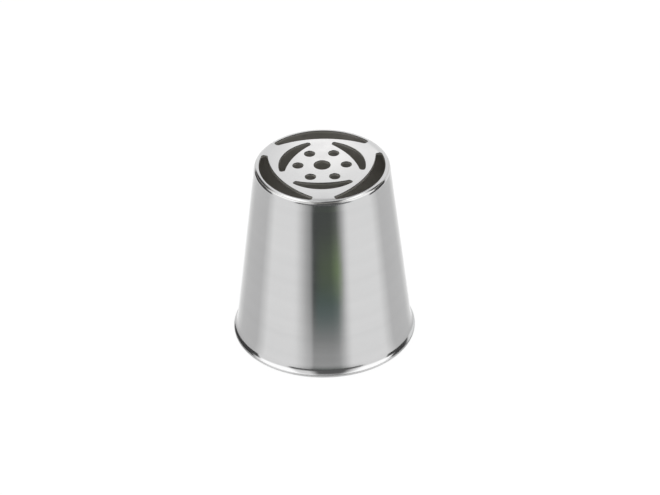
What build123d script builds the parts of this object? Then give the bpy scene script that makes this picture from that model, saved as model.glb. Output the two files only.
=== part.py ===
from build123d import *
from math import acos, asin, atan2, cos, degrees, hypot, radians, sin, sqrt, tan
import os

# Piping nozzle of the flower kind, in millimetres. It stands on its wide end:
# origin at the middle of the wide end, +Z up through the pierced face.

# Overall sizes of the nozzle
height = 36.8
rim_diameter = 34.88
tip_diameter = 25.66

# Cone: the tapered sheet body. Its wide end flares, bends outward and is rolled under into a bead.
cone_sheet = 0.4
flare_radius = 10.0
bend_radius = 1.7
bead_radius = 0.4
land_depth = 0.04

# Cap: the drawn and pierced end, welded edge to edge on the narrow end of the cone
cap_sheet = 0.6
shoulder_radius = 0.88
cap_skirt = 1.2

# Flower pattern in the cap's face, from the shoulder inward
slot_land = 0.07
outer_slot_width = 2.88
outer_slot_back_radius = 17.9
ring_web = 0.8
inner_slot_width = 2.2
inner_slot_back_radius = 15.8
slot_end_share = 0.45
petal_hole_diameter = 2.1
petal_circle_share = 2 / 3
middle_hole_diameter = 3.2

# Counts, and angles in degrees. The rounds of the rim are drawn in flats that stay close to them.
slot_count = 3
petal_hole_count = 6
outer_slot_half_angle = 49.5
outer_slot_start = 90
inner_slot_half_angle = 44.5
inner_slot_start = 30
flare_angle = 12.5
bend_angle = 46.0
bend_flat_count = 3
bead_flat_count = 6
inner_flat_count = 2

# How far every cut runs past the metal
overrun = 1.0

# Centres of the rim's arcs, from the bead up, in the section right of the axis. The angles
# give how far the surface leans from the axis where one arc passes into the next.
bead_r = rim_diameter / 2 - bead_radius
bead_z = bead_radius - land_depth
bead_to_bend = bead_radius + bend_radius
bend_r = bead_r + bead_to_bend * cos(radians(bend_angle))
bend_z = bead_z + bead_to_bend * sin(radians(bend_angle))
flare_r = bend_r + (flare_radius - bend_radius) * cos(radians(flare_angle))
flare_z = bend_z + (flare_radius - bend_radius) * sin(radians(flare_angle))

# The outer wall is the common tangent of the shoulder's arc and the flare
shoulder_r = tip_diameter / 2 - shoulder_radius
shoulder_z = height - shoulder_radius
run = flare_r - shoulder_r
drop = shoulder_z - flare_z
taper = atan2(run, drop) - asin((shoulder_radius + flare_radius) / hypot(run, drop))
wall_top_r = shoulder_r + shoulder_radius * cos(taper)
wall_top_z = shoulder_z + shoulder_radius * sin(taper)
joint_z = wall_top_z - cap_skirt

# The bead is rolled on until its edge meets the inside of the bend
inner_bend_radius = bend_radius + cone_sheet
bead_end = degrees(acos((bead_to_bend**2 + bead_radius**2 - inner_bend_radius**2) / (2 * bead_to_bend * bead_radius)))
bend_end = degrees(
    acos((bead_to_bend**2 + inner_bend_radius**2 - bead_radius**2) / (2 * bead_to_bend * inner_bend_radius))
)


def wall(z, depth):
    """Section point of the tapered wall at height z, at a depth into the sheet from its outer face."""
    return (wall_top_r + (wall_top_z - z) * tan(taper) - depth / cos(taper), z)


def arc(center_r, center_z, radius, start, end, flat_count):
    """Section points along an arc of the rim, from one angle to another."""
    angles = [radians(start + (end - start) * step / flat_count) for step in range(flat_count + 1)]
    return [(center_r + radius * cos(angle), center_z + radius * sin(angle)) for angle in angles]


# Section of the cone: down the outer wall, round the bead and up the inner wall
wall_side = 180 + degrees(taper)
flare_side = 180 + flare_angle
bend_side = 180 + bend_angle
outer_flare = arc(flare_r, flare_z, flare_radius, wall_side, flare_side, 1)
outer_bend = arc(bend_r, bend_z, bend_radius, flare_side, bend_side, bend_flat_count)
bead = arc(bead_r, bead_z, bead_radius, bend_angle, bend_angle + bead_end - 360, bead_flat_count)
inner_bend = arc(bend_r, bend_z, inner_bend_radius, bend_side - bend_end, flare_side, inner_flat_count)
inner_flare = arc(flare_r, flare_z, flare_radius + cone_sheet, flare_side, wall_side, 1)
outer_side = [wall(joint_z, 0), *outer_flare, *outer_bend[1:]]
inner_side = [*inner_bend[1:], *inner_flare[1:], wall(joint_z, cone_sheet)]

with BuildPart() as nozzle_cone:
    with BuildSketch(Plane.XZ):
        with BuildLine():
            Polyline(*outer_side, *bead[1:], *inner_side, close=True)
        make_face()
    revolve(axis=Axis.Z)
    # The bead is planished to a narrow flat land, which the nozzle stands on
    split(bisect_by=Plane.XY, keep=Keep.TOP)
nozzle_cone.part.label = "nozzle_cone"

# The rings of the pattern follow each other from the shoulder inward
outer_slot_radius = shoulder_r - slot_land
inner_slot_radius = outer_slot_radius - outer_slot_width - ring_web
petal_ring_outer = inner_slot_radius - inner_slot_width
petal_ring_inner = middle_hole_diameter / 2
petal_circle_radius = petal_ring_inner + (petal_ring_outer - petal_ring_inner) * petal_circle_share


def crescent(outer_radius, width, back_radius, half_angle):
    """Slot between an arc about the nozzle's middle and a flatter arc behind it, with round ends."""
    back_center = outer_radius - width - back_radius
    end_side = radians(half_angle)
    end_inner_radius = back_center * cos(end_side) + sqrt(back_radius**2 - (back_center * sin(end_side)) ** 2)
    end_width = outer_radius - end_inner_radius
    with BuildSketch() as slot:
        Circle(outer_radius)
        with Locations((back_center, 0)):
            Circle(back_radius, mode=Mode.SUBTRACT)
        reach = outer_radius * tan(end_side)
        Polygon((0, 0), (outer_radius, -reach), (outer_radius, reach), align=None, mode=Mode.INTERSECT)
        fillet(slot.vertices(), radius=end_width * slot_end_share)
    return slot.sketch


outer_slot = crescent(outer_slot_radius, outer_slot_width, outer_slot_back_radius, outer_slot_half_angle)
inner_slot = crescent(inner_slot_radius, inner_slot_width, inner_slot_back_radius, inner_slot_half_angle)

# Section of the cap: half of the flat face, the rounded shoulder and the short skirt
face_z = height - cap_sheet
skirt_outer = wall(joint_z, 0)
skirt_inner = wall(joint_z, cap_sheet)

with BuildPart() as pattern_cap:
    with BuildSketch(Plane.XZ):
        with BuildLine():
            Line((0, height), (shoulder_r, height))
            CenterArc((shoulder_r, shoulder_z), shoulder_radius, degrees(taper), 90 - degrees(taper))
            Polyline((wall_top_r, wall_top_z), skirt_outer, skirt_inner, wall(face_z, cap_sheet), (0, face_z))
            Line((0, face_z), (0, height))
        make_face()
    revolve(axis=Axis.Z)
    with BuildSketch(Plane.XY.offset(height + overrun)):
        with PolarLocations(0, slot_count, start_angle=outer_slot_start):
            add(outer_slot)
        with PolarLocations(0, slot_count, start_angle=inner_slot_start):
            add(inner_slot)
        with PolarLocations(petal_circle_radius, petal_hole_count):
            Circle(petal_hole_diameter / 2)
        Circle(middle_hole_diameter / 2)
    extrude(amount=-(cap_sheet + 2 * overrun), mode=Mode.SUBTRACT)
pattern_cap.part.label = "pattern_cap"

os.makedirs("parts", exist_ok=True)
export_step(nozzle_cone.part, "parts/nozzle_cone.step")
export_step(pattern_cap.part, "parts/pattern_cap.step")

print("taper from the axis, degrees:", round(degrees(taper), 3))
print("wall at the joint, radius and height:", [round(size, 3) for size in skirt_outer])
print("wall's line at the table, diameter:", round(2 * wall(0, 0)[0], 3))
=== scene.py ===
from math import acos, asin, atan2, cos, degrees, hypot, pi, radians, sin, sqrt, tan

import bmesh
import bpy
from mathutils import Matrix, Vector


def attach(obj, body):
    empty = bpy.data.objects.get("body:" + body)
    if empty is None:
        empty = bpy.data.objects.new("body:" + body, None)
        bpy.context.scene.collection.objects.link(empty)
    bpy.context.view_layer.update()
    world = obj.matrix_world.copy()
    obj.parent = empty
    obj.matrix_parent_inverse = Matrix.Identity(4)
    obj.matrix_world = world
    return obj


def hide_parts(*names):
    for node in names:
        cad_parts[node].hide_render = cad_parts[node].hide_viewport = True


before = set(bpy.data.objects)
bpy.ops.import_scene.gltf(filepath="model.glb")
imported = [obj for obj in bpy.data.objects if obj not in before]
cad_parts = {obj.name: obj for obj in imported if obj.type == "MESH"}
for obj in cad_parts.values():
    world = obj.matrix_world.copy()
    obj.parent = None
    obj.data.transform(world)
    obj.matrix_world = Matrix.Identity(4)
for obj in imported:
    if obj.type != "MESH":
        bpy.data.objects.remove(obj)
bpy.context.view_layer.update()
scene = bpy.context.scene
mm = 0.001  # the nozzle's sizes are in millimetres, the studio's in metres

# Sizes that both pieces share, as in the part's source
nozzle = {
    "height": 36.8,
    "rimDiameter": 34.86,  # a hair less than the source's, so that the rounder bead stays inside the solid's box
    "tipDiameter": 25.66,
    "coneSheet": 0.4,
    "capSheet": 0.6,
    "capSkirt": 1.2,
    "shoulderRadius": 0.88,
    "flareRadius": 10.0,
    "flareAngle": 12.5,  # where the flare meets the bend, degrees from the axis
    "bendRadius": 1.7,
    "lipAngle": 46.0,  # where the bend meets the bead, degrees from the axis
    "beadRadius": 0.4,
    "landDepth": 0.04,
    "turns": 288,  # steps round the axis
    "pathRadius": 15.0,  # of the circle that a section is swept along
    "cornerAngle": 0.6,  # an edge that bends more than this stays a corner, in radians
}

# From the rim inward: the bead rolled under the lip, the bend behind it and the flare above that
beadRadius, bendRadius, flareRadius = nozzle["beadRadius"], nozzle["bendRadius"], nozzle["flareRadius"]
beadTurn, flareTurn = radians(nozzle["lipAngle"]), radians(nozzle["flareAngle"])
beadR, beadZ = nozzle["rimDiameter"] / 2 - beadRadius, beadRadius - nozzle["landDepth"]
bendR = beadR + (beadRadius + bendRadius) * cos(beadTurn)
bendZ = beadZ + (beadRadius + bendRadius) * sin(beadTurn)
flareR = bendR + (flareRadius - bendRadius) * cos(flareTurn)
flareZ = bendZ + (flareRadius - bendRadius) * sin(flareTurn)

# The wall is the common tangent of the shoulder's arc and the flare
shoulderR = nozzle["tipDiameter"] / 2 - nozzle["shoulderRadius"]
shoulderZ = nozzle["height"] - nozzle["shoulderRadius"]
wallRun, wallDrop = flareR - shoulderR, shoulderZ - flareZ
taper = atan2(wallRun, wallDrop) - asin((nozzle["shoulderRadius"] + flareRadius) / hypot(wallRun, wallDrop))
wallTopR = shoulderR + nozzle["shoulderRadius"] * cos(taper)
wallTopZ = shoulderZ + nozzle["shoulderRadius"] * sin(taper)
wallBaseR = wallTopR + wallTopZ * tan(taper)
jointZ = wallTopZ - nozzle["capSkirt"]
print("taper", round(degrees(taper), 3), "wall at the table", round(2 * wallBaseR, 3))


# Radius and height of a point of the wall, at a depth into the sheet
def wallPoint(z, depth=0.0):
    return wallTopR + (wallTopZ - z) * tan(taper) - depth / cos(taper), z


# Points along an arc, angles in degrees
def arcPoints(centre, radius, start, end, steps):
    angles = [radians(start + (end - start) * i / steps) for i in range(steps + 1)]
    return [(centre[0] + radius * cos(a), centre[1] + radius * sin(a)) for a in angles]


# Points along a straight stretch, its first one left out
def linePoints(start, end, steps):
    return [tuple(s + (e - s) * i / steps for s, e in zip(start, end)) for i in range(1, steps + 1)]


# A node with its settings and with values for some of its inputs
def newNode(tree, kind, values=None, **settings):
    node = tree.nodes.new(kind)
    for name, value in settings.items():
        setattr(node, name, value)
    for name, value in (values or {}).items():
        node.inputs[name].default_value = value
    return node


def join(tree, *pairs):
    for start, end in pairs:
        tree.links.new(start, end)


# Named sockets of a node group: inputs as (name, kind, value), outputs as (name, kind)
def groupSockets(tree, inputs, outputs):
    for name, kind, value in inputs:
        socket = tree.interface.new_socket(name, in_out="INPUT", socket_type=kind)
        if value is not None:
            socket.default_value = value
    for name, kind in outputs:
        tree.interface.new_socket(name, in_out="OUTPUT", socket_type=kind)
    return tree.nodes.new("NodeGroupInput"), tree.nodes.new("NodeGroupOutput")


# Each of its values is a number or a socket
def mathNode(tree, operation, first, second, third=None):
    node = newNode(tree, "ShaderNodeMath", operation=operation)
    for socket, value in zip(node.inputs, (first, second, third)):
        if value is None:
            continue
        if isinstance(value, (int, float)):
            socket.default_value = value
        else:
            tree.links.new(value, socket)
    return node.outputs[0]


# Kinds of loops: a section to spin, the two crescents and the section of a pierced edge
spunKind, outerKind, innerKind, wallKind = range(4)


# One mesh of edges. Each loop is (kind, points, closed), and the kind is kept on its points
def outlineMesh(name, loops):
    mesh = bpy.data.meshes.new(name)
    points, edges, kinds = [], [], []
    for kind, loop, closed in loops:
        first = len(points)
        points += [(x * mm, y * mm, 0.0) for x, y in loop]
        kinds += [kind] * len(loop)
        edges += [(first + i, first + i + 1) for i in range(len(loop) - 1)]
        if closed:
            edges.append((first + len(loop) - 1, first))
    mesh.from_pydata(points, edges, [])
    mesh.attributes.new("kind", "INT", "POINT").data.foreach_set("value", kinds)
    return mesh


# The loops of one kind as curves. The kind wanted is a number or a socket
def loopsOfKind(tree, geometry, wanted):
    kind = newNode(tree, "GeometryNodeInputNamedAttribute", {"Name": "kind"}, data_type="INT")
    same = newNode(tree, "FunctionNodeCompare", data_type="INT", operation="EQUAL")
    chosen = newNode(tree, "GeometryNodeSeparateGeometry", domain="POINT")
    toCurve = newNode(tree, "GeometryNodeMeshToCurve")
    kindSocket, wantedSocket = [s for s in same.inputs if s.type == "INT"]
    if isinstance(wanted, int):
        wantedSocket.default_value = wanted
    else:
        tree.links.new(wanted, wantedSocket)
    join(
        tree,
        (kind.outputs[0], kindSocket),
        (geometry, chosen.inputs["Geometry"]),
        (same.outputs[0], chosen.inputs["Selection"]),
        (chosen.outputs["Selection"], toCurve.inputs[0]),
    )
    return toCurve.outputs[0]


# Turns the loops of one kind round the Z axis into a closed sheet-metal form
def buildSpinTree():
    tree = bpy.data.node_groups.new("spinSection", "GeometryNodeTree")
    inputs = [
        ("Geometry", "NodeSocketGeometry", None),
        ("Kind", "NodeSocketInt", spunKind),
        ("Path Radius", "NodeSocketFloat", 0.01),
        ("Turns", "NodeSocketInt", 64),
    ]
    source, result = groupSockets(tree, inputs, [("Geometry", "NodeSocketGeometry")])
    path = newNode(tree, "GeometryNodeCurvePrimitiveCircle", mode="RADIUS")
    sweep = newNode(tree, "GeometryNodeCurveToMesh")
    join(
        tree,
        (loopsOfKind(tree, source.outputs["Geometry"], source.outputs["Kind"]), sweep.inputs["Profile Curve"]),
        (source.outputs["Turns"], path.inputs["Resolution"]),
        (source.outputs["Path Radius"], path.inputs["Radius"]),
        (path.outputs["Curve"], sweep.inputs["Curve"]),
        (sweep.outputs[0], result.inputs[0]),
    )
    return tree


spinTree = buildSpinTree()


# Merges a form, shades it smooth but for its real corners, and gives it its material
def buildFinishTree():
    tree = bpy.data.node_groups.new("finishForm", "GeometryNodeTree")
    inputs = [
        ("Geometry", "NodeSocketGeometry", None),
        ("Corner Angle", "NodeSocketFloat", 0.5),
        ("Merge Distance", "NodeSocketFloat", 0.000002),
        ("Material", "NodeSocketMaterial", None),
    ]
    source, result = groupSockets(tree, inputs, [("Geometry", "NodeSocketGeometry")])
    realize = newNode(tree, "GeometryNodeRealizeInstances")
    merge = newNode(tree, "GeometryNodeMergeByDistance")
    angle = newNode(tree, "GeometryNodeInputMeshEdgeAngle")
    isCorner = newNode(tree, "FunctionNodeCompare", data_type="FLOAT", operation="GREATER_THAN")
    corners = newNode(tree, "GeometryNodeSetShadeSmooth", {"Shade Smooth": False}, domain="EDGE")
    smooth = newNode(tree, "GeometryNodeSetShadeSmooth", {"Shade Smooth": True}, domain="FACE")
    paint = newNode(tree, "GeometryNodeSetMaterial")
    join(
        tree,
        (source.outputs["Geometry"], realize.inputs[0]),
        (realize.outputs[0], merge.inputs["Geometry"]),
        (source.outputs["Merge Distance"], merge.inputs["Distance"]),
        (merge.outputs[0], smooth.inputs["Geometry"]),
        (smooth.outputs[0], corners.inputs["Geometry"]),
        (angle.outputs["Unsigned Angle"], isCorner.inputs["A"]),
        (source.outputs["Corner Angle"], isCorner.inputs["B"]),
        (isCorner.outputs[0], corners.inputs["Selection"]),
        (corners.outputs[0], paint.inputs["Geometry"]),
        (source.outputs["Material"], paint.inputs["Material"]),
        (paint.outputs[0], result.inputs[0]),
    )
    return tree


finishTree = buildFinishTree()


# Cone: its section spun round the axis
def buildConeTree():
    tree = bpy.data.node_groups.new("coneForm", "GeometryNodeTree")
    inputs = [
        ("Geometry", "NodeSocketGeometry", None),
        ("Path Radius", "NodeSocketFloat", 0.015),
        ("Turns", "NodeSocketInt", 128),
        ("Corner Angle", "NodeSocketFloat", 0.6),
        ("Material", "NodeSocketMaterial", None),
    ]
    source, result = groupSockets(tree, inputs, [("Geometry", "NodeSocketGeometry")])
    spin = newNode(tree, "GeometryNodeGroup", node_tree=spinTree)
    finish = newNode(tree, "GeometryNodeGroup", node_tree=finishTree)
    join(
        tree,
        (source.outputs["Geometry"], spin.inputs["Geometry"]),
        (source.outputs["Path Radius"], spin.inputs["Path Radius"]),
        (source.outputs["Turns"], spin.inputs["Turns"]),
        (spin.outputs[0], finish.inputs["Geometry"]),
        (source.outputs["Corner Angle"], finish.inputs["Corner Angle"]),
        (source.outputs["Material"], finish.inputs["Material"]),
        (finish.outputs[0], result.inputs[0]),
    )
    return tree


# Sets a tree's inputs on its modifier, each by its socket's identifier
def setInputs(modifier, values):
    for item in modifier.node_group.interface.items_tree:
        if item.item_type == "SOCKET" and item.in_out == "INPUT" and item.name in values:
            modifier[item.identifier] = values[item.name]


# Runs a tree on an outline and keeps the result as a plain mesh
def growPiece(name, outline, tree, values):
    seed = bpy.data.objects.new(name + ".outline", outline)
    scene.collection.objects.link(seed)
    modifier = seed.modifiers.new("form", "NODES")
    modifier.node_group = tree
    setInputs(modifier, values)
    bpy.context.view_layer.update()
    grown = seed.evaluated_get(bpy.context.evaluated_depsgraph_get())
    mesh = bpy.data.meshes.new_from_object(grown)
    bpy.data.objects.remove(seed)
    mesh.name = name
    form = bmesh.new()
    form.from_mesh(mesh)
    bmesh.ops.recalc_face_normals(form, faces=form.faces)
    if form.calc_volume(signed=True) < 0:
        bmesh.ops.reverse_faces(form, faces=form.faces)
    openEdges = sum(1 for edge in form.edges if len(edge.link_faces) != 2)
    volume = round(form.calc_volume() / mm**3, 2)
    print(name, "faces", len(form.faces), "open edges", openEdges, "volume", volume)
    form.to_mesh(mesh)
    form.free()
    piece = bpy.data.objects.new(name, mesh)
    scene.collection.objects.link(piece)
    return piece


# Steps along each stretch of the cone's section
coneSteps = {"wall": 24, "flare": 10, "bend": 20, "bead": 40, "innerFlare": 6, "innerBend": 12}


# Section of the cone from its top edge: down the outer wall, round the bead, up the inner wall
def coneSection():
    sheet, lip = nozzle["coneSheet"], nozzle["lipAngle"]
    wallSide, flareSide, beadSide = (180 + a for a in (degrees(taper), nozzle["flareAngle"], lip))
    # the bead is rolled until its edge meets the inside of the bend
    reach, inner = beadRadius + bendRadius, bendRadius + sheet
    meet = degrees(acos((reach**2 + beadRadius**2 - inner**2) / (2 * reach * beadRadius)))
    innerEnd = beadSide - degrees(acos((reach**2 + inner**2 - beadRadius**2) / (2 * reach * inner)))
    outside = arcPoints((flareR, flareZ), flareRadius, wallSide, flareSide, coneSteps["flare"])
    outside += arcPoints((bendR, bendZ), bendRadius, flareSide, beadSide, coneSteps["bend"])[1:]
    bead = arcPoints((beadR, beadZ), beadRadius, lip, lip + meet - 360, coneSteps["bead"])
    bead = [(r, max(z, 0)) for r, z in bead[1:-1]]  # with a narrow flat land that it stands on
    inside = arcPoints((flareR, flareZ), flareRadius + sheet, wallSide, flareSide, coneSteps["innerFlare"])
    inside += arcPoints((bendR, bendZ), inner, flareSide, innerEnd, coneSteps["innerBend"])[1:]
    top, topInner = wallPoint(jointZ), wallPoint(jointZ, sheet)
    loop = [top] + linePoints(top, outside[0], coneSteps["wall"]) + outside[1:] + bead + inside[::-1]
    return loop + linePoints(inside[0], topInner, coneSteps["wall"])


# A section as the spin tree takes it, measured from the circle that it is swept along
def spunSection(points):
    return [(r - nozzle["pathRadius"], -z) for r, z in points]


coneTree = buildConeTree()
coneOutline = outlineMesh("coneOutline", [(spunKind, spunSection(coneSection()), True)])


# The pierced pattern, from the shoulder inward
pattern = {
    "slotLand": 0.07,
    "crescents": 3,  # in each of the two rings
    "endShare": 0.45,  # round of a crescent's ends, of the width there
    "outerWidth": 2.88,
    "outerBack": 17.9,  # radius of the flatter arc behind a crescent
    "outerHalfAngle": 49.5,
    "outerTurn": 90,  # where the first crescent is, in degrees
    "ringWeb": 0.8,
    "innerWidth": 2.2,
    "innerBack": 15.8,
    "innerHalfAngle": 44.5,
    "innerTurn": 30,
    "petals": 6,
    "petalHole": 2.1,
    "petalShare": 2 / 3,
    "middleHole": 3.2,
    "edgeRound": 0.03,
}

# Steps along each stretch of the cap's section and round its openings
capSteps = {
    "shoulder": 24,
    "skirt": 3,
    "foot": 2,
    "crescent": 40,
    "crescentEnd": 10,
    "crescentBack": 32,
    "edgeTop": 5,
    "edgeUnder": 4,
    "petal": 56,
    "middle": 72,
}


# Slot between an arc about the axis and a flatter arc behind it, with round ends, anticlockwise
def crescentLoop(outerRadius, width, backRadius, halfAngle):
    half = radians(halfAngle)
    backX = outerRadius - width - backRadius
    ray, side = (cos(half), sin(half)), (sin(half), -cos(half))
    endInside = backX * cos(half) + sqrt(backRadius**2 - (backX * sin(half)) ** 2)
    endRound = (outerRadius - endInside) * pattern["endShare"]
    # outer end round: inside the outer arc and tangent to the end
    along = sqrt((outerRadius - endRound) ** 2 - endRound**2)
    outerCentre = (along * ray[0] + endRound * side[0], along * ray[1] + endRound * side[1])
    # inner end round: outside the back arc and tangent to the end, where a quadratic along the end is 0
    px, py = endRound * side[0] - backX, endRound * side[1]
    b = px * ray[0] + py * ray[1]
    c = px * px + py * py - (backRadius + endRound) ** 2
    reach = -b + sqrt(b * b - c)
    innerCentre = (reach * ray[0] + endRound * side[0], reach * ray[1] + endRound * side[1])
    outerTurn = degrees(atan2(outerCentre[1], outerCentre[0]))
    innerTurn = degrees(atan2(innerCentre[1], innerCentre[0] - backX))
    upper = arcPoints((0, 0), outerRadius, 0, outerTurn, capSteps["crescent"])[:-1]
    upper += arcPoints(outerCentre, endRound, outerTurn, halfAngle + 90, capSteps["crescentEnd"])
    upper += arcPoints(innerCentre, endRound, halfAngle + 90, innerTurn + 180, capSteps["crescentEnd"])
    upper += arcPoints((backX, 0), backRadius, innerTurn, 0, capSteps["crescentBack"])[1:]
    lower = [(x, -y) for x, y in upper[::-1]]
    return upper + lower[1:-1]


# Section of the cap's shoulder and skirt, open where the flat face joins it on both sides
def capSection():
    sheet = nozzle["capSheet"]
    shoulder = arcPoints((shoulderR, shoulderZ), nozzle["shoulderRadius"], 90, degrees(taper), capSteps["shoulder"])
    foot, footInner = wallPoint(jointZ), wallPoint(jointZ, sheet)
    innerTop = wallPoint(nozzle["height"] - sheet, sheet)
    outside = shoulder + linePoints(shoulder[-1], foot, capSteps["skirt"])
    return outside + linePoints(foot, footInner, capSteps["foot"]) + linePoints(footInner, innerTop, capSteps["skirt"])


# Section of a pierced edge, from the face round its soft edge and down through the sheet
def holeWall():
    edge, sheet = pattern["edgeRound"], nozzle["capSheet"]
    top = arcPoints((edge, -edge), edge, 90, 180, capSteps["edgeTop"])
    bottom = arcPoints((edge, edge - sheet), edge, 180, 270, capSteps["edgeUnder"])
    return [(x, -z) for x, z in top + bottom]


# Copies of one closed outline, spaced evenly round the axis
def buildRingTree():
    tree = bpy.data.node_groups.new("ringOfOutlines", "GeometryNodeTree")
    inputs = [
        ("Outline", "NodeSocketGeometry", None),
        ("Copies", "NodeSocketInt", 3),
        ("Start Angle", "NodeSocketFloat", 0.0),
    ]
    source, result = groupSockets(tree, inputs, [("Outlines", "NodeSocketGeometry")])
    copies = newNode(tree, "GeometryNodeDuplicateElements", domain="SPLINE")
    step = mathNode(tree, "DIVIDE", 2 * pi, source.outputs["Copies"])
    angle = mathNode(tree, "MULTIPLY_ADD", copies.outputs["Duplicate Index"], step, source.outputs["Start Angle"])
    place = newNode(tree, "GeometryNodeSetPosition")
    position = newNode(tree, "GeometryNodeInputPosition")
    turn = newNode(tree, "ShaderNodeVectorRotate", rotation_type="Z_AXIS")
    join(
        tree,
        (source.outputs["Outline"], copies.inputs["Geometry"]),
        (source.outputs["Copies"], copies.inputs["Amount"]),
        (copies.outputs["Geometry"], place.inputs["Geometry"]),
        (position.outputs[0], turn.inputs["Vector"]),
        (angle, turn.inputs["Angle"]),
        (turn.outputs[0], place.inputs["Position"]),
        (place.outputs[0], result.inputs[0]),
    )
    return tree


ringTree = buildRingTree()


# One side of the pierced face: a flat disc with the outlines cut out, widened by the edge round
def buildFaceSideTree():
    tree = bpy.data.node_groups.new("piercedSide", "GeometryNodeTree")
    inputs = [
        ("Outlines", "NodeSocketGeometry", None),
        ("Disc Radius", "NodeSocketFloat", 0.01),
        ("Turns", "NodeSocketInt", 128),
        ("Edge Round", "NodeSocketFloat", 0.0001),
        ("Height", "NodeSocketFloat", 0.0),
    ]
    source, result = groupSockets(tree, inputs, [("Side", "NodeSocketGeometry")])
    normal = newNode(tree, "GeometryNodeInputNormal")
    widen = newNode(tree, "ShaderNodeVectorMath", operation="SCALE")
    offset = newNode(tree, "GeometryNodeSetPosition")
    disc = newNode(tree, "GeometryNodeCurvePrimitiveCircle", mode="RADIUS")
    together = newNode(tree, "GeometryNodeJoinGeometry")
    fill = newNode(tree, "GeometryNodeFillCurve")
    fill.mode = "TRIANGLES"
    lift = newNode(tree, "GeometryNodeTransform")
    up = newNode(tree, "ShaderNodeCombineXYZ")
    join(
        tree,
        (normal.outputs[0], widen.inputs[0]),
        (source.outputs["Edge Round"], widen.inputs["Scale"]),
        (source.outputs["Outlines"], offset.inputs["Geometry"]),
        (widen.outputs[0], offset.inputs["Offset"]),
        (source.outputs["Turns"], disc.inputs["Resolution"]),
        (source.outputs["Disc Radius"], disc.inputs["Radius"]),
        (offset.outputs[0], together.inputs[0]),
        (disc.outputs["Curve"], together.inputs[0]),
        (together.outputs[0], fill.inputs["Curve"]),
        (source.outputs["Height"], up.inputs["Z"]),
        (fill.outputs[0], lift.inputs["Geometry"]),
        (up.outputs[0], lift.inputs["Translation"]),
        (lift.outputs[0], result.inputs[0]),
    )
    return tree


sideTree = buildFaceSideTree()


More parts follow.
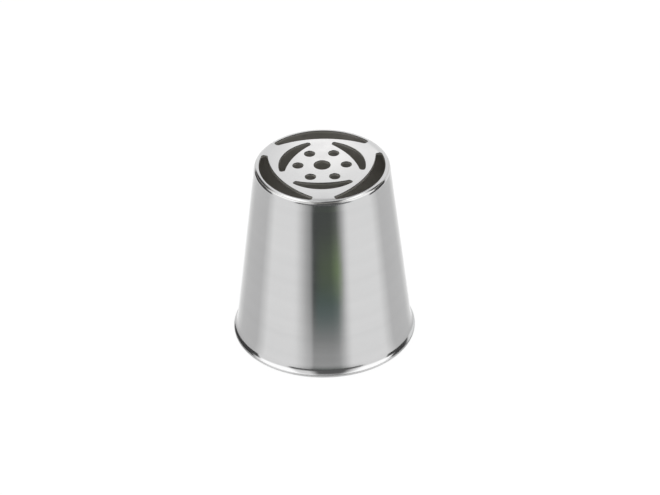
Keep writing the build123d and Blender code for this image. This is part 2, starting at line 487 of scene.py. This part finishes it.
# Cap: spun shoulder and skirt, and a flat face pierced by rings of crescents and round holes
def buildCapTree():
    tree = bpy.data.node_groups.new("piercedCapForm", "GeometryNodeTree")
    inputs = [
        ("Geometry", "NodeSocketGeometry", None),
        ("Path Radius", "NodeSocketFloat", 0.015),
        ("Turns", "NodeSocketInt", 128),
        ("Face Height", "NodeSocketFloat", 0.037),
        ("Sheet", "NodeSocketFloat", 0.0006),
        ("Top Radius", "NodeSocketFloat", 0.012),
        ("Under Radius", "NodeSocketFloat", 0.012),
        ("Edge Round", "NodeSocketFloat", 0.0001),
        ("Crescents", "NodeSocketInt", 3),
        ("Outer Turn", "NodeSocketFloat", 0.0),
        ("Inner Turn", "NodeSocketFloat", 0.0),
        ("Petals", "NodeSocketInt", 6),
        ("Petal Radius", "NodeSocketFloat", 0.001),
        ("Petal Circle", "NodeSocketFloat", 0.0045),
        ("Middle Radius", "NodeSocketFloat", 0.0016),
        ("Corner Angle", "NodeSocketFloat", 0.6),
        ("Material", "NodeSocketMaterial", None),
    ]
    source, result = groupSockets(tree, inputs, [("Geometry", "NodeSocketGeometry")])
    socket = source.outputs

    def ring(outline, copies, turn=None):
        node = newNode(tree, "GeometryNodeGroup", node_tree=ringTree)
        join(tree, (outline, node.inputs["Outline"]), (copies, node.inputs["Copies"]))
        if turn is not None:
            tree.links.new(turn, node.inputs["Start Angle"])
        return node.outputs[0]

    def roundOutline(radius, steps):
        circle = newNode(tree, "GeometryNodeCurvePrimitiveCircle", {"Resolution": steps}, mode="RADIUS")
        tree.links.new(radius, circle.inputs["Radius"])
        return circle.outputs["Curve"]

    petal = newNode(tree, "GeometryNodeTransform")
    petalPlace = newNode(tree, "ShaderNodeCombineXYZ")
    join(
        tree,
        (roundOutline(socket["Petal Radius"], capSteps["petal"]), petal.inputs["Geometry"]),
        (socket["Petal Circle"], petalPlace.inputs["X"]),
        (petalPlace.outputs[0], petal.inputs["Translation"]),
    )
    outlines = newNode(tree, "GeometryNodeJoinGeometry")
    for made in (
        ring(loopsOfKind(tree, socket["Geometry"], outerKind), socket["Crescents"], socket["Outer Turn"]),
        ring(loopsOfKind(tree, socket["Geometry"], innerKind), socket["Crescents"], socket["Inner Turn"]),
        ring(petal.outputs[0], socket["Petals"]),
        roundOutline(socket["Middle Radius"], capSteps["middle"]),
    ):
        tree.links.new(made, outlines.inputs[0])

    whole = newNode(tree, "GeometryNodeJoinGeometry")
    underHeight = mathNode(tree, "SUBTRACT", socket["Face Height"], socket["Sheet"])
    for discRadius, height in ((socket["Top Radius"], socket["Face Height"]), (socket["Under Radius"], underHeight)):
        side = newNode(tree, "GeometryNodeGroup", node_tree=sideTree)
        join(
            tree,
            (outlines.outputs[0], side.inputs["Outlines"]),
            (discRadius, side.inputs["Disc Radius"]),
            (socket["Turns"], side.inputs["Turns"]),
            (socket["Edge Round"], side.inputs["Edge Round"]),
            (height, side.inputs["Height"]),
            (side.outputs[0], whole.inputs[0]),
        )

    walls = newNode(tree, "GeometryNodeCurveToMesh")
    wallsUp = newNode(tree, "ShaderNodeCombineXYZ")
    liftWalls = newNode(tree, "GeometryNodeTransform")
    spin = newNode(tree, "GeometryNodeGroup", node_tree=spinTree)
    finish = newNode(tree, "GeometryNodeGroup", node_tree=finishTree)
    join(
        tree,
        (outlines.outputs[0], walls.inputs["Curve"]),
        (loopsOfKind(tree, socket["Geometry"], wallKind), walls.inputs["Profile Curve"]),
        (socket["Face Height"], wallsUp.inputs["Z"]),
        (walls.outputs[0], liftWalls.inputs["Geometry"]),
        (wallsUp.outputs[0], liftWalls.inputs["Translation"]),
        (liftWalls.outputs[0], whole.inputs[0]),
        (socket["Geometry"], spin.inputs["Geometry"]),
        (socket["Path Radius"], spin.inputs["Path Radius"]),
        (socket["Turns"], spin.inputs["Turns"]),
        (spin.outputs[0], whole.inputs[0]),
        (whole.outputs[0], finish.inputs["Geometry"]),
        (socket["Corner Angle"], finish.inputs["Corner Angle"]),
        (socket["Material"], finish.inputs["Material"]),
        (finish.outputs[0], result.inputs[0]),
    )
    return tree


outerRadius = shoulderR - pattern["slotLand"]
innerRadius = outerRadius - pattern["outerWidth"] - pattern["ringWeb"]
petalInside = pattern["middleHole"] / 2
petalCircle = petalInside + (innerRadius - pattern["innerWidth"] - petalInside) * pattern["petalShare"]
outerLoop = crescentLoop(outerRadius, pattern["outerWidth"], pattern["outerBack"], pattern["outerHalfAngle"])
innerLoop = crescentLoop(innerRadius, pattern["innerWidth"], pattern["innerBack"], pattern["innerHalfAngle"])
capOutline = outlineMesh(
    "capOutline",
    [
        (spunKind, spunSection(capSection()), False),
        (outerKind, outerLoop, True),
        (innerKind, innerLoop, True),
        (wallKind, holeWall(), False),
    ],
)
capTree = buildCapTree()
underRadius = wallPoint(nozzle["height"] - nozzle["capSheet"], nozzle["capSheet"])[0]


# Height of a point of the surface, its way out from the axis, and how far out it is
def aboutAxis(tree):
    place = newNode(tree, "ShaderNodeTexCoord")
    split = newNode(tree, "ShaderNodeSeparateXYZ")
    outward = newNode(tree, "ShaderNodeCombineXYZ")
    radius = newNode(tree, "ShaderNodeVectorMath", operation="LENGTH")
    join(
        tree,
        (place.outputs["Object"], split.inputs[0]),
        (split.outputs["X"], outward.inputs["X"]),
        (split.outputs["Y"], outward.inputs["Y"]),
        (outward.outputs[0], radius.inputs[0]),
    )
    return split.outputs["Z"], outward.outputs[0], radius.outputs["Value"]


# Fine rings left by spinning and polishing round the Z axis
def buildSpunGrainGroup():
    tree = bpy.data.node_groups.new("spunGrain", "ShaderNodeTree")
    inputs = [
        ("Rings", "NodeSocketFloat", 6000.0),
        ("Wander", "NodeSocketFloat", 0.4),
        ("Detail", "NodeSocketFloat", 3.0),
    ]
    outputs = [("Lines", "NodeSocketFloat"), ("Broad", "NodeSocketFloat")]
    source, result = groupSockets(tree, inputs, outputs)
    height, outward, radius = aboutAxis(tree)
    unit = newNode(tree, "ShaderNodeVectorMath", operation="NORMALIZE")
    spread = newNode(tree, "ShaderNodeVectorMath", operation="SCALE")
    apart = newNode(tree, "ShaderNodeSeparateXYZ")
    grainAt = newNode(tree, "ShaderNodeCombineXYZ")
    lines = newNode(tree, "ShaderNodeTexNoise", {"Scale": 1.0, "Roughness": 0.65})
    broad = newNode(tree, "ShaderNodeTexNoise", {"Scale": 0.06, "Detail": 2.0})
    # height and radius both count, so that the rings show on the wall and on the flat face
    travel = mathNode(tree, "SUBTRACT", height, radius)
    join(
        tree,
        (outward, unit.inputs[0]),
        (unit.outputs[0], spread.inputs[0]),
        (source.outputs["Wander"], spread.inputs["Scale"]),
        (spread.outputs[0], apart.inputs[0]),
        (apart.outputs["X"], grainAt.inputs["X"]),
        (apart.outputs["Y"], grainAt.inputs["Y"]),
        (mathNode(tree, "MULTIPLY", travel, source.outputs["Rings"]), grainAt.inputs["Z"]),
        (grainAt.outputs[0], lines.inputs["Vector"]),
        (grainAt.outputs[0], broad.inputs["Vector"]),
        (source.outputs["Detail"], lines.inputs["Detail"]),
        (lines.outputs[0], result.inputs["Lines"]),
        (broad.outputs[0], result.inputs["Broad"]),
    )
    return tree


# Soft smudges and a few fine scratches from handling, both 0 to 1
def buildHandlingGroup():
    tree = bpy.data.node_groups.new("handling", "ShaderNodeTree")
    inputs = [
        ("Smudge Size", "NodeSocketFloat", 160.0),
        ("Scratch Size", "NodeSocketFloat", 900.0),
        ("Scratch Amount", "NodeSocketFloat", 0.5),
    ]
    outputs = [("Smudges", "NodeSocketFloat"), ("Scratches", "NodeSocketFloat")]
    source, result = groupSockets(tree, inputs, outputs)
    place = newNode(tree, "ShaderNodeTexCoord")
    smudge = newNode(tree, "ShaderNodeTexNoise", {"Detail": 3.0})
    smudgeSpan = {"From Min": 0.42, "From Max": 0.72}
    smudgeRange = newNode(tree, "ShaderNodeMapRange", smudgeSpan, interpolation_type="SMOOTHSTEP")
    # the scratches are a noise stretched in a slanting direction, and only its peaks show
    turned = newNode(tree, "ShaderNodeMapping", {"Rotation": (0.6, 0.35, 0.9), "Scale": (1.0, 0.03, 1.0)})
    scratch = newNode(tree, "ShaderNodeTexNoise", {"Detail": 1.0})
    scratchRange = newNode(tree, "ShaderNodeMapRange", {"From Min": 0.70, "From Max": 0.76})
    join(
        tree,
        (place.outputs["Object"], smudge.inputs["Vector"]),
        (source.outputs["Smudge Size"], smudge.inputs["Scale"]),
        (smudge.outputs[0], smudgeRange.inputs["Value"]),
        (smudgeRange.outputs[0], result.inputs["Smudges"]),
        (place.outputs["Object"], turned.inputs["Vector"]),
        (turned.outputs[0], scratch.inputs["Vector"]),
        (source.outputs["Scratch Size"], scratch.inputs["Scale"]),
        (scratch.outputs[0], scratchRange.inputs["Value"]),
    )
    scratches = mathNode(tree, "MULTIPLY", scratchRange.outputs[0], source.outputs["Scratch Amount"])
    tree.links.new(scratches, result.inputs["Scratches"])
    return tree


# Masks of the sheet's unpolished inner side and of the duller bead, and a height that leans the
# shading where the flat face runs into the shoulder and where the wall runs into the flare
def buildInnerSideGroup():
    tree = bpy.data.node_groups.new("innerSide", "ShaderNodeTree")
    inputs = [
        ("Line Radius", "NodeSocketFloat", 0.0128),
        ("Line Height", "NodeSocketFloat", 0.036),
        ("Slope", "NodeSocketFloat", 0.115),
        ("Depth", "NodeSocketFloat", 0.0002),
        ("Top", "NodeSocketFloat", 0.0365),
        ("Roll Start", "NodeSocketFloat", 0.011),
        ("Roll Bend", "NodeSocketFloat", 0.0),
        ("Flare Start", "NodeSocketFloat", 0.003),
        ("Flare Bend", "NodeSocketFloat", 0.0),
        ("Bead Top", "NodeSocketFloat", 0.0006),
    ]
    outputs = [("Mask", "NodeSocketFloat"), ("Roll Height", "NodeSocketFloat"), ("Bead", "NodeSocketFloat")]
    source, result = groupSockets(tree, inputs, outputs)
    size = source.outputs
    height, _, radius = aboutAxis(tree)
    # the inner side is what lies deeper than the straight line of the outer wall
    below = mathNode(tree, "SUBTRACT", size["Line Height"], height)
    line = mathNode(tree, "MULTIPLY_ADD", below, size["Slope"], size["Line Radius"])
    skin = mathNode(tree, "SUBTRACT", line, size["Depth"])
    within = mathNode(tree, "LESS_THAN", radius, skin)
    underTop = mathNode(tree, "LESS_THAN", height, size["Top"])

    # 0 up to a start, and from there the square of the way past it
    def bentFrom(way, bend):
        past = mathNode(tree, "MAXIMUM", way, 0.0)
        return mathNode(tree, "MULTIPLY", mathNode(tree, "MULTIPLY", past, past), bend)

    drop = bentFrom(mathNode(tree, "SUBTRACT", radius, size["Roll Start"]), size["Roll Bend"])
    swell = bentFrom(mathNode(tree, "SUBTRACT", size["Flare Start"], height), size["Flare Bend"])
    join(
        tree,
        (mathNode(tree, "MULTIPLY", within, underTop), result.inputs["Mask"]),
        (mathNode(tree, "SUBTRACT", swell, drop), result.inputs["Roll Height"]),
        (mathNode(tree, "LESS_THAN", height, size["Bead Top"]), result.inputs["Bead"]),
    )
    return tree


grainGroup = buildSpunGrainGroup()
handlingGroup = buildHandlingGroup()
innerSideGroup = buildInnerSideGroup()


# Sheet steel: polished outside with a fine relief from the spinning, dull and warmer inside
def metalMaterial(name, look):
    material = bpy.data.materials.new(name)
    material.use_nodes = True
    tree = material.node_tree
    shader = tree.nodes["Principled BSDF"]
    shader.inputs["Metallic"].default_value = 1.0
    shader.inputs["Anisotropic"].default_value = look["anisotropy"]
    shader.inputs["Anisotropic Rotation"].default_value = look["anisotropyTurn"]
    rings = {"Rings": look["rings"], "Wander": look["wander"]}
    grain = newNode(tree, "ShaderNodeGroup", rings, node_tree=grainGroup)
    wear = newNode(tree, "ShaderNodeGroup", {"Scratch Amount": look["scratches"]}, node_tree=handlingGroup)
    places = {
        "Line Radius": wallTopR * mm,
        "Line Height": wallTopZ * mm,
        "Slope": tan(taper),
        "Depth": look["polishDepth"] * mm,
        "Top": (nozzle["height"] - look["polishDepth"]) * mm,
        "Roll Start": look["rollStart"] * mm,
        "Roll Bend": look["rollBend"],
        "Flare Start": look["flareStart"] * mm,
        "Flare Bend": look["flareBend"],
        "Bead Top": look["beadTop"] * mm,
    }
    inner = newNode(tree, "ShaderNodeGroup", places, node_tree=innerSideGroup)

    tone = newNode(tree, "ShaderNodeValToRGB")
    tones = zip(tone.color_ramp.elements, look["toneSpan"], (look["toneLow"], look["toneHigh"]))
    for element, position, colour in tones:
        element.position = position
        element.color = (*colour, 1)
    sides = newNode(tree, "ShaderNodeMix", data_type="RGBA")
    polishedTone, innerTone = [socket for socket in sides.inputs if socket.type == "RGBA"]
    innerTone.default_value = (*look["innerTone"], 1)
    join(
        tree,
        (grain.outputs["Broad"], tone.inputs["Fac"]),
        (inner.outputs["Mask"], sides.inputs["Factor"]),
        (tone.outputs["Color"], polishedTone),
        ([socket for socket in sides.outputs if socket.type == "RGBA"][0], shader.inputs["Base Color"]),
    )
    dull = look["roughness"]
    for mask, amount in (
        (grain.outputs["Lines"], look["lineGloss"]),
        (wear.outputs["Smudges"], look["smudgeGloss"]),
        (inner.outputs["Mask"], look["innerRoughness"]),
        (inner.outputs["Bead"], look["beadRoughness"]),
    ):
        dull = mathNode(tree, "MULTIPLY_ADD", mask, amount, dull)
    tree.links.new(dull, shader.inputs["Roughness"])
    relief = mathNode(tree, "SUBTRACT", grain.outputs["Lines"], wear.outputs["Scratches"])
    bump = newNode(tree, "ShaderNodeBump", {"Strength": look["bump"], "Distance": look["bumpDepth"]})
    roll = newNode(tree, "ShaderNodeBump", {"Strength": 1.0, "Distance": 1.0})
    around = newNode(tree, "ShaderNodeTangent", direction_type="RADIAL", axis="Z")
    join(
        tree,
        (relief, bump.inputs["Height"]),
        (bump.outputs[0], roll.inputs["Normal"]),
        (inner.outputs["Roll Height"], roll.inputs["Height"]),
        (roll.outputs[0], shader.inputs["Normal"]),
        (around.outputs[0], shader.inputs["Tangent"]),
    )
    return material


coneLook = {
    "toneLow": (0.615, 0.615, 0.617),
    "toneHigh": (0.645, 0.645, 0.647),
    "toneSpan": (0.3, 0.7),  # of the broad rings, from the low tone to the high one
    "innerTone": (0.54, 0.525, 0.49),
    "roughness": 0.10,
    "innerRoughness": 0.45,  # this and the next three are added to the roughness
    "beadRoughness": 0.35,
    "lineGloss": 0.05,
    "smudgeGloss": 0.04,
    "polishDepth": 0.2,  # how deep into the sheet the polished side reaches
    "anisotropy": 0.5,
    "anisotropyTurn": 0.25,
    "rings": 5000.0,
    "wander": 0.35,
    "scratches": 0.3,
    "bump": 0.12,
    "bumpDepth": 0.00002,
    "rollStart": 11.1,  # from the axis, where the flat face starts to lean to the shoulder
    "rollBend": 0.0,
    "flareStart": 4.5,  # from the table, where the wall starts to lean out to the rim
    "flareBend": 17.0,
    "beadTop": 0.6,  # below this the rolled edge is duller
}
capLook = dict(coneLook, smudgeGloss=0.06, scratches=0.45, rollBend=60.0, flareBend=0.0)

coneSteel = metalMaterial("spunSteel", coneLook)
capSteel = metalMaterial("stampedSteel", capLook)

spinValues = {
    "Path Radius": nozzle["pathRadius"] * mm,
    "Turns": nozzle["turns"],
    "Corner Angle": nozzle["cornerAngle"],
}
steelCone = growPiece("steelCone", coneOutline, coneTree, {**spinValues, "Material": coneSteel})
print("cone made")

piercedCap = growPiece(
    "piercedCap",
    capOutline,
    capTree,
    {
        **spinValues,
        "Face Height": nozzle["height"] * mm,
        "Sheet": nozzle["capSheet"] * mm,
        "Top Radius": shoulderR * mm,
        "Under Radius": underRadius * mm,
        "Edge Round": pattern["edgeRound"] * mm,
        "Crescents": pattern["crescents"],
        "Outer Turn": radians(pattern["outerTurn"]),
        "Inner Turn": radians(pattern["innerTurn"]),
        "Petals": pattern["petals"],
        "Petal Radius": pattern["petalHole"] / 2 * mm,
        "Petal Circle": petalCircle * mm,
        "Middle Radius": pattern["middleHole"] / 2 * mm,
        "Material": capSteel,
    },
)
print("cap made")

for piece, node, finish in ((steelCone, "nozzle_cone", "polished_steel"), (piercedCap, "pattern_cap", "cap_steel")):
    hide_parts(node)
    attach(piece, "root")


studio = {
    "floorSize": 4.0,
    "floorTone": 0.9,
    "floorGlow": 1.03,  # how bright the camera and the metal see the floor
    "glowShare": 0.85,  # of that in the floor, and the rest shows a trace of the nozzle's shadow
    "shadedGlowShare": 0.10,  # the same under the nozzle, lower there as a painted shade, but not 0 so that its slots aren't black
    "domeRadius": 0.3,
    "mirroredReach": 0.09,
    "flattestRay": 0.02,  # a ray that falls less than this is taken to the floor as if it fell so
}

# Steps along the sides of each kind of card
cardSteps = {"dome": 24, "level": 8, "floor": 32}

# The photograph's camera, in millimetres and degrees. It looks at a point on the nozzle's axis
camera = {
    "aimHeight": 18.3,
    "distance": 664.3,
    "elevation": 34.667,
    "turn": -0.81,  # round the nozzle's axis
    "roll": -0.881,
    "pitch": -0.0218,
    "yaw": -0.1093,
    "lens": 190.52,
    "sensor": 36.0,
    "clipStart": 10.0,
}
cameraUp = radians(camera["elevation"])


def grey(tone):
    return (tone, tone, tone)


def between(span, share):
    return span[0] + (span[1] - span[0]) * share


# A floor or card of the studio. A card shows only in the metal's reflections
def stagePiece(name, mesh, material, onlyReflected=True):
    card = bpy.data.objects.new(name, mesh)
    scene.collection.objects.link(card)
    mesh.materials.append(material)
    if onlyReflected:
        card.visible_camera = False
        card.visible_diffuse = False
        card.visible_shadow = False
        card.visible_transmission = False


# A grid whose corners come from point(u, v), with u and v from 0 to 1 kept as its UV map
def gridMesh(name, steps, point):
    mesh = bpy.data.meshes.new(name)
    places = [(i / steps, j / steps) for j in range(steps + 1) for i in range(steps + 1)]
    firsts = [j * (steps + 1) + i for j in range(steps) for i in range(steps)]
    faces = [(a, a + 1, a + steps + 2, a + steps + 1) for a in firsts]
    mesh.from_pydata([point(u, v) for u, v in places], [], faces)
    uv = mesh.uv_layers.new(name="UVMap")
    for loop in mesh.loops:
        uv.data[loop.index].uv = places[loop.vertex_index]
    return mesh


def emptyMaterial(name):
    material = bpy.data.materials.new(name)
    material.use_nodes = True
    material.node_tree.nodes.clear()
    return material, material.node_tree


# Ends a material with the first shader where the share is 0 and the second where it is 1
def mixShaders(tree, share, first, second):
    mix = newNode(tree, "ShaderNodeMixShader")
    output = newNode(tree, "ShaderNodeOutputMaterial")
    join(
        tree,
        (share, mix.inputs["Fac"]),
        (first.outputs[0], mix.inputs[1]),
        (second.outputs[0], mix.inputs[2]),
        (mix.outputs[0], output.inputs["Surface"]),
    )


# Card with soft edges. Stops are (place, share of the card that shows), across it and along it
def cardMaterial(name, stopsAcross, stopsAlong, tint):
    material, tree = emptyMaterial(name)
    place = newNode(tree, "ShaderNodeUVMap")
    split = newNode(tree, "ShaderNodeSeparateXYZ")
    tree.links.new(place.outputs[0], split.inputs[0])
    masks = []
    for axis, stops in (("X", stopsAcross), ("Y", stopsAlong)):
        ramp = newNode(tree, "ShaderNodeValToRGB")
        elements = ramp.color_ramp.elements
        while len(elements) < len(stops):
            elements.new(0.5)
        for element, (position, value) in zip(elements, stops):
            element.position = position
            element.color = (*grey(value), 1)
        tree.links.new(split.outputs[axis], ramp.inputs["Fac"])
        masks.append(ramp.outputs["Color"])
    clear = newNode(tree, "ShaderNodeBsdfTransparent")
    glow = newNode(tree, "ShaderNodeEmission", {"Color": (*tint, 1), "Strength": 1.0})
    mixShaders(tree, mathNode(tree, "MULTIPLY", *masks), clear, glow)
    return material


def stageCard(name, steps, point, stopsAcross, stopsAlong, tint):
    stagePiece(name, gridMesh(name, steps, point), cardMaterial(name, stopsAcross, stopsAlong, tint))


# Card on a dome round the nozzle. Azimuth 0 is the camera's side, positive to the right
def domeCard(name, azimuths, elevations, stopsAcross, stopsAlong, tint, reach=studio["domeRadius"]):
    centre = Vector((0, 0, nozzle["height"] / 2 * mm))

    def point(u, v):
        azimuth, elevation = radians(between(azimuths, u)), radians(between(elevations, v))
        flat, high = reach * cos(elevation), reach * sin(elevation)
        return centre + Vector((flat * sin(azimuth), -flat * cos(azimuth), high))

    stageCard(name, cardSteps["dome"], point, stopsAcross, stopsAlong, tint)


# Level card, given by its sides and depths in millimetres and by its offset from the table in metres
def levelCard(name, sides, depths, offset, stopsAcross, stopsAlong, tint):
    def point(u, v):
        return Vector((between(sides, u) * mm, between(depths, v) * mm, 0)) + offset

    stageCard(name, cardSteps["level"], point, stopsAcross, stopsAlong, tint)


# Card on the floor, cut so that its edges run straight down the cone as the camera sees them
# Azimuths are places round the cone and heights are places up it, in degrees and millimetres
# A card narrows by a share of its width towards the table, and lies at its lift in metres
def floorCard(name, azimuths, heights, stopsAcross, stopsAlong, tint, narrow=0.0, lift=0.0002):
    sight = Vector((0, -cos(cameraUp), sin(cameraUp)))
    middle, half = (azimuths[0] + azimuths[1]) / 2, (azimuths[1] - azimuths[0]) / 2

    def point(u, v):
        radius, z = wallPoint(between(heights, v))
        width = half * (1 - narrow * max(0, 1 - z / nozzle["height"]))
        azimuth = radians(middle + width * (2 * u - 1))
        out = Vector((sin(azimuth), -cos(azimuth), 0))
        normal = (out * cos(taper) + Vector((0, 0, sin(taper)))).normalized()
        ray = 2 * normal.dot(sight) * normal - sight
        start = out * radius * mm + Vector((0, 0, z * mm))
        hit = start + ray * (-start.z / min(ray.z, -studio["flattestRay"]))
        return Vector((hit.x, hit.y, lift))

    stageCard(name, cardSteps["floor"], point, stopsAcross, stopsAlong, tint)


# Floor and background: white for the camera and for reflections, with a trace of the nozzle's shadow
def buildFloor():
    material, tree = emptyMaterial("studioFloor")
    rays = newNode(tree, "ShaderNodeLightPath")
    seen = mathNode(tree, "MAXIMUM", rays.outputs["Is Camera Ray"], rays.outputs["Is Glossy Ray"])
    seen = mathNode(tree, "MAXIMUM", seen, rays.outputs["Is Transmission Ray"])
    place = newNode(tree, "ShaderNodeTexCoord")
    span = newNode(tree, "ShaderNodeVectorMath", operation="LENGTH")
    tree.links.new(place.outputs["Object"], span.inputs[0])
    # Under the nozzle the glow's share drops: a painted shade there, on top of the real shadow in the lit colour
    outside = mathNode(tree, "GREATER_THAN", span.outputs["Value"], wallBaseR * mm)
    inside = studio["shadedGlowShare"]
    share = mathNode(tree, "MULTIPLY_ADD", outside, studio["glowShare"] - inside, inside)
    matte = newNode(tree, "ShaderNodeBsdfDiffuse", {"Color": (*grey(studio["floorTone"]), 1)})
    bright = newNode(tree, "ShaderNodeEmission", {"Strength": studio["floorGlow"]})
    mixShaders(tree, mathNode(tree, "MULTIPLY", seen, share), matte, bright)
    half = studio["floorSize"] / 2
    mesh = gridMesh("studioFloor", 1, lambda u, v: ((u * 2 - 1) * half, (v * 2 - 1) * half, 0))
    stagePiece("studioFloor", mesh, material, onlyReflected=False)


buildFloor()

# Plain white light from all round
world = bpy.data.worlds.new("studioAir")
scene.world = world
world.use_nodes = True
air = world.node_tree.nodes["Background"]
air.inputs["Color"].default_value = (1, 1, 1, 1)
air.inputs["Strength"].default_value = 1.0
print("studio made")

# Dark parts of the room. The front one shows in the rim, the side and low ones in the sides of
# the rim and the shoulder, and the middle one and the bar overhead in the front of the shoulder
softEnds = [(0, 0), (0.06, 1), (0.94, 1), (1, 0)]
frontFade = [(0, 1), (0.55, 1), (0.75, 0.5), (1, 0)]
midEnds = [(0, 0), (0.2, 1), (0.8, 1), (1, 0)]
midFade = [(0, 1), (0.7, 1), (0.9, 0.6), (1, 0)]
sideRoom = ([(0, 0), (0.08, 1), (0.85, 1), (1, 0)], [(0, 1), (0.8, 1), (1, 0)], grey(0.07), 0.12)
domeCard("frontRoom", (-46, 46), (-8, 24), softEnds, frontFade, grey(0.12))
domeCard("sideRoomLeft", (-94, -141), (-8.8, 54), *sideRoom)
domeCard("lowRoomLeft", (-82, -101), (-8.8, 22), *sideRoom)
domeCard("sideRoomRight", (85.5, 114), (-8.8, 60), *sideRoom)
domeCard("lowRoomRight", (74, 91), (-8.8, 17), *sideRoom)
domeCard("midRoom", (-21, 34), (12, 60), midEnds, midFade, grey(0.14))
levelCard(
    "overheadBar",
    (-20, 34),
    (-62, 54),
    Vector((0, 0, 0.088)),
    [(0, 0), (0.15, 0.75), (0.3, 0.8), (0.4, 1), (0.75, 1), (0.92, 0)],
    [(0, 0.8), (0.1, 1), (0.42, 1), (0.5, 0.5), (0.9, 0.5), (1, 0)],
    grey(0.12),
)

# Bright cards that glow only in the metal's reflections and light nothing, as painted highlights: two at the sides in
# front of the nozzle, and one behind it. The flat face mirrors that one to the camera at its own size, so its sides
# and depths are places on the face, where it paints a soft sheen
highlightEdges = [(0, 0), (0.15, 1), (0.85, 1), (1, 0)]
domeCard("highlightCardLeft", (-36, -96), (13, 72), highlightEdges, highlightEdges, grey(1.6), 0.28)
domeCard("highlightCardRight", (36, 96), (13, 72), highlightEdges, highlightEdges, grey(1.6), 0.28)
mirroredWay = Vector((0, cos(cameraUp), sin(cameraUp)))
levelCard(
    "highlightCardBack",
    (-9.5, 17.0),
    (-5.5, 15.0),
    Vector((0, 0, nozzle["height"] * mm)) + mirroredWay * studio["mirroredReach"],
    [(0, 0), (0.2, 0.45), (0.3, 0.95), (0.42, 1), (0.5, 0.82), (0.6, 0.75), (0.7, 0.42), (0.85, 0.42), (1, 0.8)],
    [(0, 0), (0.25, 0.2), (0.5, 0.55), (0.72, 0.95), (1, 1)],
    (1.76, 1.74, 1.72),
)

# The dark middle of the cone, with its hard left edge and a green patch low in it
stripAcross = [(0, 0), (0.06, 0.04), (0.163, 0.29), (0.25, 0.53), (0.315, 0.66), (0.365, 0.97)]
stripAcross += [(0.67, 0.97), (0.77, 0.91), (0.86, 0.55), (0.95, 0.12), (1, 0)]
floorCard(
    "frontStrip",
    (-25.3, 20.7),
    (1.2, 110),
    stripAcross,
    [(0, 0), (0.008, 0.58), (0.03, 0.67), (0.062, 0.785), (0.102, 0.925), (0.142, 1), (1, 1)],
    (0.058, 0.064, 0.061),
    narrow=0.12,
)
floorCard(
    "greenPatch",
    (-8, 15),
    (14, 31),
    [(0, 0), (0.25, 0.2), (0.55, 0.25), (0.78, 0.65), (0.88, 0.55), (1, 0)],
    [(0, 0), (0.25, 0.7), (0.62, 1), (0.75, 0.35), (1, 0)],
    (0.25, 0.375, 0.14),
    lift=0.0004,
)
floorCard(
    "tealPatch",
    (-9, 14),
    (6, 19),
    [(0, 0), (0.2, 0.3), (0.8, 0.3), (1, 0)],
    [(0, 0), (0.4, 1), (0.7, 1), (1, 0)],
    (0.085, 0.19, 0.18),
    lift=0.0006,
)

# A faint shade down each side of the cone
shadeAcross, shadeAlong = [(0, 0), (0.22, 0.33), (0.7, 0.33), (1, 0.1)], [(0, 1), (1, 1)]
for side, name in ((-1, "floorShadeLeft"), (1, "floorShadeRight")):
    floorCard(name, (side * 43, side * 86), (-2, 40), shadeAcross, shadeAlong, grey(0.0))
print("cards made")


# Lamp with a soft face, in metres and watts
def softLamp(name, place, aim, size, power):
    light = bpy.data.lights.new(name, "AREA")
    light.shape = "RECTANGLE"
    light.size, light.size_y = size
    light.energy = power
    lamp = bpy.data.objects.new(name, light)
    lamp.location = place
    lamp.rotation_euler = (Vector(aim) - Vector(place)).to_track_quat("-Z", "Y").to_euler()
    scene.collection.objects.link(lamp)


softLamp("topSoftbox", place=(0.0, -0.02, 0.45), aim=(0, 0, 0.02), size=(0.5, 0.4), power=0.5)
print("lamps made")


def buildCamera():
    data = bpy.data.cameras.new("photoCamera")
    data.lens = camera["lens"]
    data.sensor_width = camera["sensor"]
    data.clip_start = camera["clipStart"] * mm
    body = bpy.data.objects.new("photoCamera", data)
    scene.collection.objects.link(body)
    back = Matrix.Rotation(radians(camera["turn"]), 3, "Z") @ Vector((0, -cos(cameraUp), sin(cameraUp)))
    target = Vector((0, 0, camera["aimHeight"] * mm))
    base = back.to_track_quat("Z", "Y").to_matrix()
    nudge = Matrix.Identity(3)
    for turn, axis in (("roll", "Z"), ("pitch", "X"), ("yaw", "Y")):
        nudge = nudge @ Matrix.Rotation(radians(camera[turn]), 3, axis)
    body.matrix_world = Matrix.Translation(target + back * camera["distance"] * mm) @ (base @ nudge).to_4x4()
    scene.camera = body


buildCamera()
scene.view_settings.view_transform = "Standard"
print("camera set")
